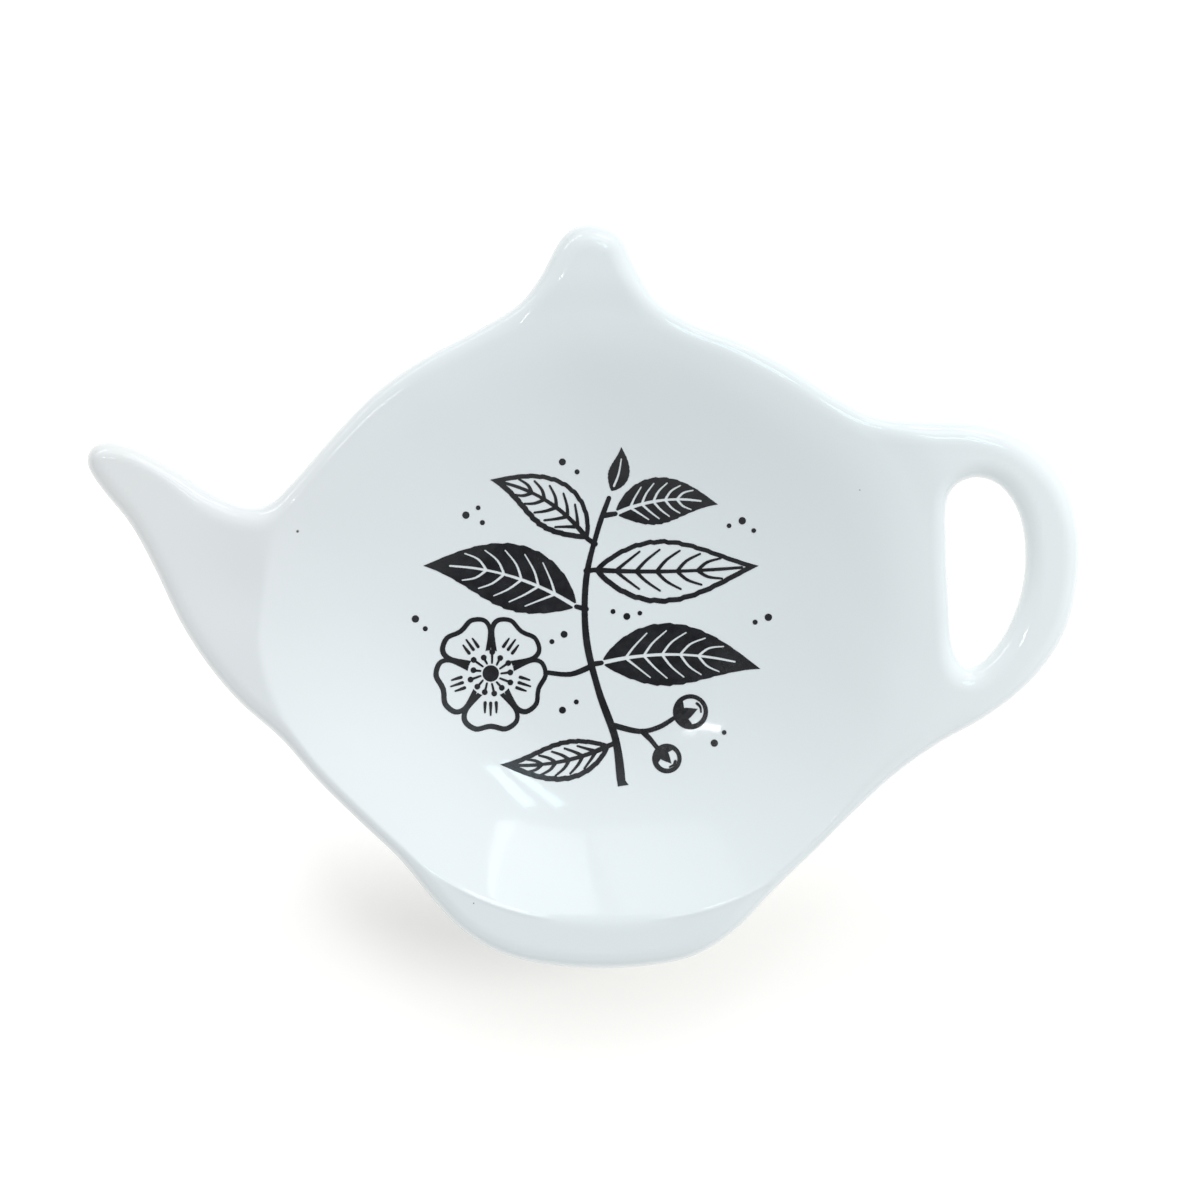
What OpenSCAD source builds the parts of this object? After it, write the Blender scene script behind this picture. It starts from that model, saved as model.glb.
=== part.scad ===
// Tea bag rest: a shallow teapot-shaped porcelain dish with a dished recess,
// spout, lid knob, loop handle, foot lip and a round foot ring underneath.
// Lies flat, +Z up. X runs spout (-) to handle (+), Y runs foot lip (-) to knob (+).
// The origin is on the table, under the middle of the dish. Millimetres.

/* [Dish] */
// Overall width, spout tip to handle; the outline keeps its proportions
dish_w = 120; // [108:1:132]
// Height of the rim above the table
rim_h = 14.5; // [14:0.5:17]
// Thickness of the flat lips (spout, knob, handle, foot)
lip_t = 4.5; // [4:0.1:5]
// Radius of the rounded outer edge
edge_r = 2; // [1.4:0.1:2]

/* [Recess] */
// Depth of the recess below the rim
recess_d = 8; // [7:0.5:8.5]
// Part of the recess that is flat, as a share of its radius
flat_share = 0.60; // [0.58:0.01:0.64]
// Radius that softens the inner rim
inner_r = 1.2; // [0.8:0.1:1.6]

/* [Foot ring] */
// Outer radius of the foot ring
ring_r = 25; // [24:0.5:27]
// Width of the foot ring
ring_w = 3.6; // [3:0.1:4.5]
// Height of the bare, unglazed foot of the ring
bare_h = 0.8; // [0.6:0.1:1.2]
// Thickness of the floor
floor_t = 4; // [3.6:0.1:4.5]

/* [Glaze and print] */
// Thickness of the glaze
glaze_t = 0.25; // [0.2:0.05:0.3]
// Height of the printed ink above the glaze
ink_t = 0.1; // [0.04:0.01:0.12]
// Line width of the print
line_w = 0.62; // [0.5:0.02:0.74]

/* [Hidden] */

k = dish_w / 120;                 // scale of every outline below
floor_z = rim_h - recess_d;       // glazed floor of the recess
under_z = floor_z - floor_t;      // underside of the floor
mean_r = 38.5 * k;                // mean radius of the recess
hub = [0.7 * k, -2.6 * k];        // middle of the recess

// ---------- outlines, clockwise from the knob, hand-placed round numbers ----------
OUTLINE = [
  // lid knob and right shoulder
  [1, 45], [4.4, 43.7], [6.1, 40.3], [8.8, 35.9], [13.2, 33], [19, 30.8], [25, 27.7], [30.6, 24.1],
  [35.5, 21.7],
  // handle
  [41.5, 21.2], [47.6, 21], [53.2, 19.1], [57.6, 14.9], [59.8, 9], [59.9, 2.5], [58.3, -4.3], [54.4, -10],
  [49, -14.4], [43, -17.8], [37.4, -21.8], [32.4, -26.4],
  // foot lip
  [27.4, -31.3], [22.7, -35.9], [18.2, -40.5], [12.8, -43.7], [5.5, -44.9], [-2.4, -44.8],
  [-9.4, -43.4], [-14.6, -40.4], [-18.6, -36.2], [-22.3, -31.7],
  // lower left and spout
  [-27.1, -27.2], [-32.2, -22.2], [-36.6, -17.2], [-41.6, -12.8], [-45.8, -7.8], [-49, -2.7],
  [-51.8, 3.2], [-54.8, 8.7], [-58.2, 12.9], [-60.1, 16.2], [-58.8, 18.5],
  [-55, 18.3], [-49.8, 15.7], [-45.2, 12.7], [-41.2, 10.9], [-38, 11.1],
  // left shoulder
  [-34.5, 14.5], [-30, 19.6], [-25.2, 24.5], [-19.6, 28.5], [-13.4, 31.8], [-8, 35.1], [-5.2, 38.6],
  [-3.4, 42.1], [-1.8, 44.2]];

HOLE = [[47, 14.3], [50.4, 13.4], [52.8, 9.8], [53.5, 4.5], [52.7, -0.6], [50.4, -5.5], [47, -8.7],
        [44.8, -6.4], [44.2, -0.4], [43.9, 6.4], [44.2, 12.2]];

RECESS = [
  [-1, 33.9], [7, 33.3], [15, 30.7], [23, 27], [30.6, 22.5], [37, 16.6], [40.6, 9.2], [41.5, 0.8],
  [40.4, -8.2], [37.1, -17.9], [31.4, -26.9], [23.5, -34], [13.5, -38.2], [2.5, -39.3], [-8, -38.1],
  [-17.5, -33.8], [-26.4, -26.5], [-33.6, -18.9], [-38, -10.8], [-39.6, -2.2], [-38.1, 6.2],
  [-33.5, 13], [-27, 20.4], [-18.6, 27.1], [-9.4, 31.9]];

// ---------- curves ----------
function cr(a, b, c, d, t) =
  0.5 * (2 * b + (c - a) * t + (2 * a - 5 * b + 4 * c - d) * t * t + (3 * b - a - 3 * c + d) * t * t * t);
// a smooth closed curve through the points of P, n steps to each
function closed(P, n) = let (m = len(P))
  [for (i = [0:m - 1]) for (j = [0:n - 1]) cr(P[(i + m - 1) % m], P[i], P[(i + 1) % m], P[(i + 2) % m], j / n)];
// a smooth open curve through the points of P
function open(P, n) = let (m = len(P))
  concat([for (i = [0:m - 2]) for (j = [0:n - 1])
    cr(P[max(i - 1, 0)], P[i], P[i + 1], P[min(i + 2, m - 1)], j / n)], [P[m - 1]]);
function unit(v) = v / max(norm(v), 1e-9);
// direction to the right of the path at point i of a closed loop
function right_of(P, i) = let (m = len(P), t = unit(P[(i + 1) % m] - P[(i + m - 1) % m])) [t[1], -t[0]];
// the loop moved to the right by d
function shifted(P, d) = [for (i = [0:len(P) - 1]) P[i] + d * right_of(P, i)];

outline_pts = k * closed(OUTLINE, 2);
hole_pts = k * closed(HOLE, 2);
recess_pts = k * closed(RECESS, 2);

// ---------- solids built up from rings of equal length ----------
// rings: list of [points, z], from the lowest to the highest
module stack(rings) {
  m = len(rings[0][0]);
  h = len(rings);
  pts = [for (r = rings) for (p = r[0]) [p[0], p[1], r[1]]];
  sides = [for (j = [0:h - 2]) for (i = [0:m - 1])
    let (a = j * m + i, b = j * m + (i + 1) % m) each [[a, b, a + m], [b, b + m, a + m]]];
  polyhedron(pts, concat([[for (i = [m - 1:-1:0]) i]], sides, [[for (i = [0:m - 1]) (h - 1) * m + i]]));
}

// [how far the surface lies inside the outline, z] round the full-round lip edge, g below the surface
function lip_profile(g) = let (lo = rim_h - lip_t + edge_r, hi = rim_h - edge_r)
  concat([for (a = [-90:30:0]) [edge_r - (edge_r - g) * cos(a), lo + (edge_r - g) * sin(a)]],
         [for (a = [0:30:90]) [edge_r - (edge_r - g) * cos(a), hi + (edge_r - g) * sin(a)]]);

// rise of a dished wall above its floor: flat to f0, curving to f1, then straight to the rim
function dish(f, f0, f1, rise) = let (s = rise / (1 - (f0 + f1) / 2))
  f <= f0 ? 0 : f <= f1 ? s * (f - f0) * (f - f0) / (2 * (f1 - f0)) : s * (f - (f0 + f1) / 2);
function dish_slope(f, f0, f1, rise) = let (s = rise / (1 - (f0 + f1) / 2))
  atan((f <= f0 ? 0 : f <= f1 ? s * (f - f0) / (f1 - f0) : s) / mean_r);
// a ring of the recess outline: share f of its size, moved out by e
function recess_ring(f, e) = [for (p = recess_pts) hub + (p - hub) * f + unit(p - hub) * e];

// flat lip plate with spout, knob, handle and foot
module lip_plate(g) difference() {
  stack([for (q = lip_profile(g)) [shifted(outline_pts, q[0]), q[1]]]);
  handle_hole(g);
}
module handle_hole(g) stack(concat(
  [[shifted(hole_pts, -edge_r - 1), rim_h - lip_t - 1]],
  [for (q = lip_profile(g)) [shifted(hole_pts, -q[0]), q[1]]],
  [[shifted(hole_pts, -edge_r - 1), rim_h + 1]]));

// outside of the bowl, g below the surface
bowl_f = [0.56, 0.62, 0.68, 0.74, 0.80, 0.86, 0.98];
module bowl(g) stack(concat(
  [for (f = bowl_f) let (a = dish_slope(f, 0.56, 0.86, rim_h - lip_t - under_z))
    [recess_ring(f, -g * sin(a)), under_z + dish(f, 0.56, 0.86, rim_h - lip_t - under_z) + g * cos(a)]],
  [[recess_ring(0.985, -g), rim_h - edge_r]]));

// the hollow of the recess, g below the surface, with a softened inner rim
wall_a = dish_slope(1, flat_share, flat_share + 0.22, recess_d);   // slope of the wall
wall_f = [0, 0.04, 0.08, 0.12, 0.16, 0.22];
module recess(g) {
  f1 = flat_share + 0.22;
  run = inner_r * tan(wall_a / 2);          // where the soft rim leaves the wall
  stack(concat(
    [for (w = wall_f) let (f = flat_share + w, a = dish_slope(f, flat_share, f1, recess_d))
      [recess_ring(f, g * sin(a)), floor_z + dish(f, flat_share, f1, recess_d) - g * cos(a)]],
    [for (a = [wall_a:-wall_a / 3:wall_a / 6])
      [recess_ring(1, run - (inner_r - g) * sin(a)), rim_h - inner_r + (inner_r - g) * cos(a)]],
    [[recess_ring(1, run), rim_h - g + 0.0001], [recess_ring(1, run), rim_h + 1]]));
}

// foot ring, g below the surface; its foot always runs down to the table
module foot_ring(g) translate([hub[0], hub[1], 0]) rotate_extrude($fn = 72)
  polygon([[ring_r - ring_w + g, floor_z - floor_t / 2], [ring_r - ring_w + 0.5 + g, bare_h],
           [ring_r - ring_w + 0.9, 0.15], [ring_r - ring_w + 1.2, 0], [ring_r - 1.0, 0], [ring_r - 0.7, 0.15],
           [ring_r - 0.3 - g, bare_h], [ring_r + 0.4 - g, floor_z - floor_t / 2]]);

// the moulded form without its foot ring, g below the surface
module form(g) difference() {
  union() { lip_plate(g); bowl(g); }
  recess(g);
}

// ---------- the pieces ----------
// one fired piece of porcelain; only the foot of its ring is bare
module porcelain_body() color([0.93, 0.91, 0.87]) union() {
  resize([dish_w - 2 * glaze_t, 0, 0]) form(glaze_t);
  foot_ring(glaze_t);
}

// the glaze: a thin skin over everything but the foot of the ring, which splits it in two
module glaze_skin() difference() {
  union() { form(0); foot_ring(0); }
  union() { form(glaze_t); foot_ring(glaze_t); }
  translate([-ring_r * 2, -ring_r * 2, -1]) cube([ring_r * 4, ring_r * 4, bare_h + 1]);
}
module inside_ring() translate([hub[0], hub[1], 0])
  cylinder(r = ring_r - ring_w / 2, h = under_z + floor_t / 2, $fn = 72);
// the coat that wraps the whole dish outside the foot ring
module glaze_coat() color([0.97, 0.98, 1.0]) resize([dish_w, 0, 0]) difference() {
  glaze_skin();
  inside_ring();
}
// the round patch of glaze under the floor, inside the foot ring
module glaze_foot_well() color([0.95, 0.97, 1.0]) resize([0, 0, 0]) intersection() {
  glaze_skin();
  inside_ring();
}

// ---------- the print: a tea sprig with leaves, a blossom and buds ----------
module ink() color([0.05, 0.05, 0.06]) translate([0, 0, floor_z]) linear_extrude(ink_t)
  scale(k) offset(delta = 0.01) children();

// a brush line along P, its half width going from h0 to h1 and wavering a little, with round ends
module brush(P, h0 = line_w / 2, h1 = line_w / 2, n = 6) {
  C = open(P, n);
  m = len(C);
  T = [for (i = [0:m - 1]) unit(C[min(i + 1, m - 1)] - C[max(i - 1, 0)])];
  function hw(i) = (h0 + (h1 - h0) * i / (m - 1)) * (1 + 0.05 * sin(i * 41) + 0.04 * sin(i * 17 + 50));
  function side(i, s) = C[i] + s * hw(i) * [-T[i][1], T[i][0]];
  // the round end at point i, s = 1 at the far end and -1 at the near one
  function cap(i, s) = [for (a = [60:-30:-60])
    C[i] + hw(i) * s * (cos(a) * T[i] + sin(a) * [-T[i][1], T[i][0]])];
  polygon(concat([for (i = [0:m - 1]) side(i, 1)], cap(m - 1, 1), [for (i = [m - 1:-1:0]) side(i, -1)], cap(0, -1)));
}

// ---- leaves: [base, tip, half width, bend] ----
function leaf_mid(L, t) = let (d = L[1] - L[0]) L[0] + d * t + [-d[1], d[0]] * L[3] * 4 * t * (1 - t);
function leaf_dir(L, t) = unit(leaf_mid(L, min(t + 0.01, 1)) - leaf_mid(L, max(t - 0.01, 0)));
function leaf_w(L, t) = L[2] * sin(180 * pow(t, 0.80)) * (1 - 0.25 * pow(t, 3));
function leaf_at(L, t, s) = let (u = leaf_dir(L, t)) leaf_mid(L, t) + s * leaf_w(L, t) * [-u[1], u[0]];
// small teeth along the edge, n to a side
function tooth(t, n) = let (q = t * n - floor(t * n)) 0.98 + 0.05 * q;
function leaf_loop(L, n = 11) = let (m = 4 * n)
  concat([for (i = [0:m]) let (t = i / m) leaf_at(L, t, tooth(t, n))],
         [for (i = [m - 1:-1:1]) let (t = i / m) leaf_at(L, t, -tooth(t, n))]);
// side vein from the midrib at t, ending at share e of the half width
function vein(L, t, s, e) = [leaf_mid(L, t), leaf_at(L, t + 0.06, s * e * 0.52), leaf_at(L, t + 0.145, s * e)];

module dark_leaf(L) difference() {
  polygon(leaf_loop(L));
  if (L[2] > 2) {
    brush([for (t = [0:0.14:0.84]) leaf_mid(L, t)], 0.25, 0.13, 4);
    for (t = [0.15:0.115:0.66]) for (s = [-1, 1]) brush(vein(L, t, s, 0.76), 0.16, 0.10, 4);
  } else brush([for (t = [0.12, 0.4, 0.74]) leaf_mid(L, t)], 0.15, 0.10, 4);
}
module open_leaf(L) {
  difference() {
    polygon(leaf_loop(L));
    translate([0.05, 0.04]) offset(delta = -line_w * 0.93) polygon(leaf_loop(L));
  }
  brush([for (t = [0:0.15:0.90]) leaf_mid(L, t)], line_w * 0.46, line_w * 0.26, 4);
  for (t = [0.13:0.125:0.64]) for (s = [-1, 1])
    brush(vein(L, t, s, s > 0 ? 0.68 : 0.60), line_w * 0.33, line_w * 0.2, 4);
}

STEM = [[4.6, -22.6], [3.9, -17.5], [1.8, -11.5], [0.3, -5], [0.3, 2], [1.7, 8], [3.1, 12]];
TWIGS = [[[1.0, -8.6], [-1.6, -9.6], [-4.4, -9.4]],              // to the blossom
         [[3.4, -15.8], [6.8, -16.6], [9.2, -16.1], [11.2, -14.9]], // to the buds
         [[7.2, -16.6], [8.2, -17.6], [9.0, -18.6]]];
DARK = [[[3.9, 10.1], [16.4, 11.2], 2.9, 0.09],                  // upper right
        [[-0.9, -1.3], [-19.6, 3.7], 4.1, -0.08],                // middle left
        [[2.2, -8.2], [21.6, -8.9], 3.9, 0.07],                  // lower right
        [[3.4, 12.9], [4.6, 18.2], 1.3, -0.08]];                 // the shoot at the tip
OPEN = [[[0.5, 7.0], [-11.4, 14.2], 3.2, -0.10],                 // upper left
        [[1.3, 3.2], [21.4, 3.7], 4.0, -0.02],                   // middle right
        [[3.2, -18.3], [-10.2, -20.6], 2.5, 0.07]];              // lower left
STALKS = [[[2.6, 9.9], [3.9, 10.1]], [[0.3, -1.6], [-0.9, -1.3]], [[0.9, -8.4], [2.2, -8.2]],
          [[1.4, 6.4], [0.5, 7.0]], [[0.3, 3.1], [1.3, 3.2]], [[4.0, -18.0], [3.2, -18.3]]];

module stem_2d() {
  brush(STEM, line_w * 0.80, line_w * 0.46, 7);
  for (t = TWIGS) brush(t, line_w * 0.52, line_w * 0.44, 5);
  for (t = STALKS) brush(t, line_w * 0.52, line_w * 0.40, 2);
  // slanted cut at the lower end
  polygon([[4.05, -22.3], [5.05, -22.5], [5.5, -23.1], [4.2, -23.3]]);
}
module print_stem() ink() stem_2d();
module print_dark_leaves() ink() difference() {
  for (L = DARK) dark_leaf(L);
  offset(delta = 0.2) stem_2d();
}
module print_open_leaves() ink() difference() {
  for (L = OPEN) open_leaf(L);
  stem_2d();
}

// ---- blossom: five notched petals round a ring of stamens ----
bloom = [-11.4, -9.5];
bloom_r = 7.0;
function petal(a) = let (c = [cos(a), sin(a)], d = [-sin(a), cos(a)])
  [for (q = [[0.16, 0.06], [0.38, 0.52], [0.62, 0.90], [0.84, 0.90], [0.985, 0.50], [0.94, 0], [0.985, -0.50],
             [0.84, -0.90], [0.62, -0.90], [0.38, -0.52], [0.16, -0.06]])
    bloom + c * q[0] * (bloom_r + 0.2 * sin(a * 3)) + d * q[1] * bloom_r * 0.535];
module petal_creases(a) for (s = [-1, 0, 1]) let (b = a + s * 11)
  brush([for (q = [0.52, 0.62, 0.73 - abs(s) * 0.04]) bloom + bloom_r * q * [cos(b - s * 14 * (q - 0.5)), sin(b - s * 14 * (q - 0.5))]],
        line_w * 0.30, line_w * 0.16, 4);
module print_blossom() ink() {
  difference() {
    for (i = [0:4]) polygon(closed(petal(54 + 72 * i), 4));
    translate([0.05, 0.04]) for (i = [0:4]) offset(delta = -line_w * 0.93) polygon(closed(petal(54 + 72 * i), 4));
    translate(bloom) circle(r = 2.85, $fn = 48);
    offset(delta = 0.02) stem_2d();
  }
  for (i = [0:4]) petal_creases(54 + 72 * i);
  translate(bloom) circle(r = 1.0, $fn = 28);
  for (i = [0:12]) let (a = i * 360 / 13, r = 2.2 + 0.28 * sin(i * 160)) {
    brush([bloom + 1.3 * [cos(a), sin(a)], bloom + r * [cos(a + 3), sin(a + 3)]], 0.11, 0.13, 2);
    translate(bloom + (r + 0.2) * [cos(a + 3), sin(a + 3)]) circle(r = 0.35, $fn = 14);
  }
}

// ---- round buds with dark sepals: [middle, radius, direction it points to] ----
BUDS = [[[13.1, -14.2], 2.15, 22], [[10.2, -19.9], 1.8, -48]];
module bud(B) translate(B[0]) rotate(B[2]) {
  r = B[1];
  difference() {
    circle(r = r, $fn = 40);
    translate([0.05, 0.04]) circle(r = r - line_w * 0.92, $fn = 40);
  }
  // three sepals cupping the lower half
  intersection() {
    circle(r = r, $fn = 40);
    for (a = [-46, 0, 46]) polygon(leaf_loop([[-r, 0], [-r, 0] + r * (a == 0 ? 1.45 : 1.25) * [cos(a), sin(a)], r * 0.36, 0], 6));
  }
  // folds of the closed petals
  brush([[0.52 * r, r * 0.30], [0.62 * r, r * 0.05], [0.55 * r, -r * 0.24]], line_w * 0.26, line_w * 0.16, 4);
}
module print_buds() ink() difference() { for (B = BUDS) bud(B); offset(delta = 0.02) stem_2d(); }

// ---- loose dots ----
DOTS = [[-14.4, 9.9, 0.44], [-12.4, 9.0, 0.30], [-12.9, 10.8, 0.28], [-2.6, 16.4, 0.42], [-0.8, 15.2, 0.30],
        [19.4, 9.2, 0.44], [17.8, 8.6, 0.28], [20.8, 8.0, 0.28], [22.6, -2.6, 0.44], [21.0, -3.2, 0.30],
        [-20.6, -2.8, 0.44], [-19.4, -4.0, 0.30], [-2.6, -14.0, 0.42], [-0.9, -13.0, 0.30], [-3.9, -5.6, 0.30],
        [-2.4, -4.7, 0.42], [16.0, -18.0, 0.44], [17.2, -16.7, 0.28], [3.6, -1.9, 0.30], [5.3, -2.5, 0.42],
        [6.9, -2.1, 0.28]];
module print_dots() ink() for (d = DOTS) translate([d[0], d[1]]) circle(r = d[2], $fn = 18);

porcelain_body();
glaze_coat();
glaze_foot_well();
print_stem();
print_dark_leaves();
print_open_leaves();
print_blossom();
print_buds();
print_dots();
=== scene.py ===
import math

import bmesh
import bpy
import numpy as np
from mathutils import Matrix, Vector, kdtree


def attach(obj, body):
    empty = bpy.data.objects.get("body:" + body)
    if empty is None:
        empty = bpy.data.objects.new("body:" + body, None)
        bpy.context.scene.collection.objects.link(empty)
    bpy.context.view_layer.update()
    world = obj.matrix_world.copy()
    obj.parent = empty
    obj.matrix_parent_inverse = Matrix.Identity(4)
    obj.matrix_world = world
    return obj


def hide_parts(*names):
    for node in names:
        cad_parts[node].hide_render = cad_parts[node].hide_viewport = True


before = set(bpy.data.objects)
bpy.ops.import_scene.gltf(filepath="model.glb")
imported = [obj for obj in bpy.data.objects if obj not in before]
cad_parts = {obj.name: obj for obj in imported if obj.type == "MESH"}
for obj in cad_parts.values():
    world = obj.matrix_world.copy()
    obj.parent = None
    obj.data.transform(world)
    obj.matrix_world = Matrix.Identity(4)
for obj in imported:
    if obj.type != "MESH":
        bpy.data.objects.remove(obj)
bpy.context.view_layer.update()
scene = bpy.context.scene
MM = 0.001

# ------------------------------------------------------------------ the form, in millimetres
RIM, FLOOR, UNDER, LIP = 14.5, 6.5, 2.5, 4.5
HUB = np.array([0.7, -2.6])
GLAZE = 0.25
BARE = 0.8  # the foot of the ring is bare up to here
RING_MID, RING_HALF = 23.2, 1.8
DISH0, DISH1 = 0.20, 0.90  # the recess is flat inside the first share of its radius, and steepest at the second
INK = 0.04

# clockwise from the knob, the same points as the construction
OUTLINE = np.array([
    [1, 45], [4.4, 43.7], [6.1, 40.3], [8.8, 35.9], [13.2, 33], [19, 30.8], [25, 27.7], [30.6, 24.1],
    [35.5, 21.7], [41.5, 21.2], [47.6, 21], [53.2, 19.1], [57.6, 14.9], [59.8, 9], [59.9, 2.5],
    [58.3, -4.3], [54.4, -10], [49, -14.4], [43, -17.8], [37.4, -21.8], [32.4, -26.4],
    [27.4, -31.3], [22.7, -35.9], [18.2, -40.5], [12.8, -43.7], [5.5, -44.9], [-2.4, -44.8],
    [-9.4, -43.4], [-14.6, -40.4], [-18.6, -36.2], [-22.3, -31.7], [-27.1, -27.2], [-32.2, -22.2],
    [-36.6, -17.2], [-41.6, -12.8], [-45.8, -7.8], [-49, -2.7], [-51.8, 3.2], [-54.8, 8.7],
    [-58.2, 12.9], [-60.1, 16.2], [-58.8, 18.5], [-55, 18.3], [-49.8, 15.7], [-45.2, 12.7],
    [-41.2, 10.9], [-38, 11.1], [-34.5, 14.5], [-30, 19.6], [-25.2, 24.5], [-19.6, 28.5],
    [-13.4, 31.8], [-8, 35.1], [-5.2, 38.6], [-3.4, 42.1], [-1.8, 44.2]], float)
HOLE = np.array([
    [47, 14.3], [50.4, 13.4], [52.8, 9.8], [53.5, 4.5], [52.7, -0.6], [50.4, -5.5], [47, -8.7],
    [44.8, -6.4], [44.2, -0.4], [43.9, 6.4], [44.2, 12.2]], float)
RECESS = np.array([
    [-1, 33.9], [7, 33.3], [15, 30.7], [23, 27], [30.6, 22.5], [37, 16.6], [40.6, 9.2], [41.5, 0.8],
    [40.4, -8.2], [37.1, -17.9], [31.4, -26.9], [23.5, -34], [13.5, -38.2], [2.5, -39.3], [-8, -38.1],
    [-17.5, -33.8], [-26.4, -26.5], [-33.6, -18.9], [-38, -10.8], [-39.6, -2.2], [-38.1, 6.2],
    [-33.5, 13], [-27, 20.4], [-18.6, 27.1], [-9.4, 31.9]], float)


def closed_curve(P, step=0.12, soft=0.7):
    """A smooth closed curve through P, evenly spaced, with its corners eased over about soft mm."""
    m = len(P)
    t = np.linspace(0, 1, 24, endpoint=False)[:, None]
    out = []
    for i in range(m):
        a, b, c, d = P[i - 1], P[i], P[(i + 1) % m], P[(i + 2) % m]
        out.append(0.5 * (2 * b + (c - a) * t + (2 * a - 5 * b + 4 * c - d) * t**2 + (3 * b - a - 3 * c + d) * t**3))
    C = np.vstack(out)
    seg = np.linalg.norm(np.roll(C, -1, 0) - C, axis=1)
    s = np.concatenate([[0], np.cumsum(seg)])
    n = int(round(s[-1] / step))
    u = np.arange(n) * s[-1] / n
    C = np.vstack([C, C[:1]])
    E = np.stack([np.interp(u, s, C[:, 0]), np.interp(u, s, C[:, 1])], 1)
    f = np.fft.fftfreq(n, s[-1] / n)
    g = np.exp(-2 * (math.pi * f * soft) ** 2)[:, None]
    return np.real(np.fft.ifft(np.fft.fft(E, axis=0) * g, axis=0))


class Loop:
    """Signed distance to a clockwise loop, positive on the right of its path, with its gradient."""

    def __init__(self, pts):
        self.p = pts
        self.n = len(pts)
        t = np.roll(pts, -1, 0) - np.roll(pts, 1, 0)
        t /= np.linalg.norm(t, axis=1)[:, None]
        self.right = np.stack([t[:, 1], -t[:, 0]], 1)
        self.tree = kdtree.KDTree(self.n)
        for i, q in enumerate(pts):
            self.tree.insert((q[0], q[1], 0.0), i)
        self.tree.balance()

    def __call__(self, x, y):
        find = self.tree.find
        idx = np.fromiter((find((a, b, 0.0))[1] for a, b in zip(x.tolist(), y.tolist())), np.int64, len(x))
        q = np.stack([x, y], 1)
        best = np.full(len(x), 1e9)
        grad = np.zeros((len(x), 2))
        for k in (0, 1):  # the two segments that meet at the nearest point
            a, b = self.p[(idx - 1 + k) % self.n], self.p[(idx + k) % self.n]
            na, nb = self.right[(idx - 1 + k) % self.n], self.right[(idx + k) % self.n]
            ab = b - a
            u = np.clip(((q - a) * ab).sum(1) / (ab * ab).sum(1), 0, 1)
            off = q - (a + ab * u[:, None])
            nrm = na + (nb - na) * u[:, None]
            nrm /= np.linalg.norm(nrm, axis=1)[:, None]
            d = np.linalg.norm(off, axis=1)
            sgn = np.where((off * nrm).sum(1) >= 0, 1.0, -1.0)
            far = d > 0.02
            g = np.where(far[:, None], off / np.maximum(d, 1e-9)[:, None] * sgn[:, None], nrm)
            take = d < np.abs(best)
            best = np.where(take, d * sgn, best)
            grad = np.where(take[:, None], g, grad)
        return best, grad


outline = Loop(closed_curve(OUTLINE))
hole = Loop(closed_curve(HOLE, soft=0.5))

# the recess edge as a radius round its hub, as a short Fourier series so that the wall is smooth
_rc = closed_curve(RECESS, soft=1.5) - HUB
_a = np.arctan2(_rc[:, 1], _rc[:, 0])
_o = np.argsort(_a)
_th = np.linspace(-math.pi, math.pi, 720, endpoint=False)
_r = np.interp(_th, _a[_o], np.hypot(*_rc.T)[_o], period=2 * math.pi)
_co = np.fft.rfft(_r) / 720
HARM = [(k, 2 * (_co[k] * np.exp(1j * k * math.pi)).real, -2 * (_co[k] * np.exp(1j * k * math.pi)).imag) for k in range(1, 13)]
R0 = _co[0].real


def recess_radius(th):
    r, dr = np.full_like(th, R0), np.zeros_like(th)
    for k, a, b in HARM:
        c, s = np.cos(k * th), np.sin(k * th)
        r += a * c + b * s
        dr += k * (b * c - a * s)
    return r, dr


def rim_softness(th):
    """How soft the inner rim is: crisp at the foot and the spout, soft at the handle and the knob."""
    keys = np.radians([-180, -150, -113, -100, -86, -71, -46, -36, -20, 0, 120, 146, 162, 171, 180])
    vals = [0.30, 0.40, 0.30, 0.34, 0.85, 0.32, 0.32, 0.60, 1.60, 2.20, 2.20, 1.80, 1.00, 0.42, 0.30]
    return np.interp(th, keys, vals)


def rim_roll(th):
    """Height in mm of the fine roll that the glaze leaves along the crisp parts of the inner rim."""
    keys = np.radians([-180, -121, -113, -102, -96, -79, -71, -45, -36, 180])
    return np.interp(th, keys, [0.0, 0.0, 0.11, 0.11, 0.0, 0.0, 0.11, 0.11, 0.0, 0.0])


def sloped(f, f0, f1, rise):
    """(height, slope per unit f) of a dished wall: flat to f0, easing in to f1, then straight."""
    s = rise / (1 - (f0 + f1) / 2)
    u = np.clip((f - f0) / (f1 - f0), 0, 1)
    h = s * (f1 - f0) * (u**3 - u**4 / 2) + s * np.maximum(f - f1, 0)
    return h, s * u * u * (3 - 2 * u)


def swept(f, rise):
    """The same for a wall that comes out almost level at the rim, so that no edge shows there."""
    t = np.clip((f - 0.15) / 0.9, 0, 1)
    u, du = t**1.5, 1.5 * np.sqrt(t) / 0.9
    end = ((1 - 0.15) / 0.9) ** 1.5
    over = np.maximum(f - 1, 0)
    h1, s1 = rise * (3 * end**2 - 2 * end**3), rise * 6 * end * (1 - end) * 1.5 * math.sqrt(0.85 / 0.9) / 0.9
    past = f > 1
    return (np.where(past, h1 + s1 * over + 90 * over**2, rise * (3 * u**2 - 2 * u**3)),
            np.where(past, s1 + 180 * over, rise * 6 * u * (1 - u) * du))


def sweep_share(th):
    """Where the wall is swept: round the knob and the handle."""
    t = np.clip(np.interp(th, np.radians([-180, -44, 10, 106, 162, 180]), [0.0, 0.0, 1.0, 1.0, 0.0, 0.0]), 0, 1)
    return t * t * (3 - 2 * t)


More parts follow.
